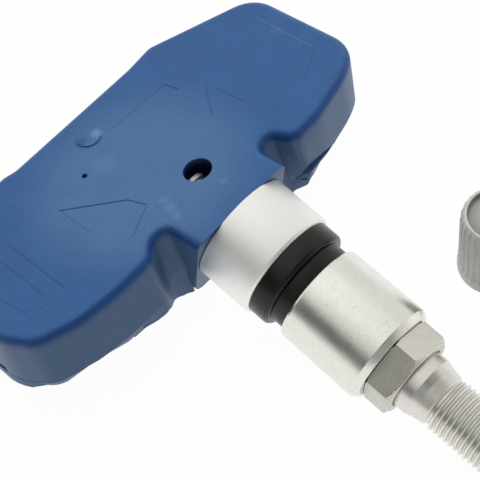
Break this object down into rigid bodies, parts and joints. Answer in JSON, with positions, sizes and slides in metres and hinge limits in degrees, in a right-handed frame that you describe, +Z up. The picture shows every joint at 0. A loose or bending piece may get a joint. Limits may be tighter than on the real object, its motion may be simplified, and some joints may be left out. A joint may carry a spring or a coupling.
{
  "type": "tyre pressure sensor",
  "caption": "Clamp-in tyre pressure sensor: lobed blue housing with battery and radio electronics, slanted metal valve with clamp sleeve, nut and rubber grommet, and a ribbed dust cap.",
  "frame": {"origin": "on the valve's axis, in the plane of the rubber flange's outer face, which seats against the rim", "axes": "+Z up from the table on which the sensor lies; -Y along the table from the housing towards the valve's tip, with the valve dipping about 9 degrees below it; +X towards the shorter lobe"},
  "size_m": [0.0624, 0.0789, 0.0188],
  "materials": {
    "housing_plastic": "moulded, fine grain, semi-matt",
    "cover_plastic": "moulded, semi-matt",
    "potting_resin": "cast, dull",
    "board_laminate": "solder-masked",
    "chip_black": "moulded, matt",
    "silicone": "matt",
    "plated_steel": "tin-plated",
    "ferrite": "sintered, matt",
    "copper": "enamelled",
    "ceramic": "sintered, matt",
    "cell_steel": "drawn, satin",
    "brass": "turned",
    "seal_rubber": "matt",
    "stem_aluminium": "turned, fine satin",
    "grommet_rubber": "moulded, semi-matt",
    "sleeve_aluminium": "turned, brushed round its axis",
    "nut_aluminium": "milled flats",
    "red_seal": "matt",
    "spring_steel": "bright wire",
    "cap_plastic": "moulded, ribbed, matt"
  },
  "bodies": {
    "sensor": {"housing": "housing_plastic", "base_cover": "cover_plastic", "potting_bed": "potting_resin", "circuit_board": "board_laminate", "pressure_sensor": "chip_black", "sensor_port_seal": "silicone", "control_chip": "chip_black", "transmitter_chip": "chip_black", "crystal_can": "plated_steel", "wake_coil_core": "ferrite", "wake_coil_winding": "copper", "motion_switch": "plated_steel", "antenna_loop": "copper", "capacitors": "ceramic", "battery_cell": "cell_steel", "battery_tab_top": "plated_steel", "battery_tab_bottom": "plated_steel", "threaded_insert": "brass", "stem_seal": "seal_rubber", "valve_stem": "stem_aluminium", "rubber_grommet": "grommet_rubber", "core_body": "brass", "core_gasket": "red_seal", "core_spring": "spring_steel", "valve_cap": "cap_plastic", "cap_seal": "seal_rubber"},
    "sleeve": {"clamp_sleeve": "sleeve_aluminium"},
    "nut": {"hex_nut": "nut_aluminium"},
    "pin": {"core_pin": "brass", "core_seal": "seal_rubber"}
  },
  "joints": [
    {"name": "sleeve_slide", "type": "slide", "parent": "sensor", "child": "sleeve", "axis": [0, -0.9881, -0.1541], "range_m": [0, 0.003]},
    {"name": "nut_turn", "type": "hinge", "parent": "sleeve", "child": "nut", "pos_m": [0, -0.01463, -0.00228], "axis": [0, -0.9881, -0.1541], "range_deg": [0, 1080]},
    {"name": "pin_press", "type": "slide", "parent": "sensor", "child": "pin", "axis": [0, 0.9881, 0.1541], "range_m": [0, 0.0012], "stiffness_N_per_m": 700, "springref_m": -0.004, "deforming": ["core_spring"]}
  ],
  "couplings": [
    {"joint": "nut_turn", "follows": "sleeve_slide", "rad_per_m": 6283.2}
  ]
}
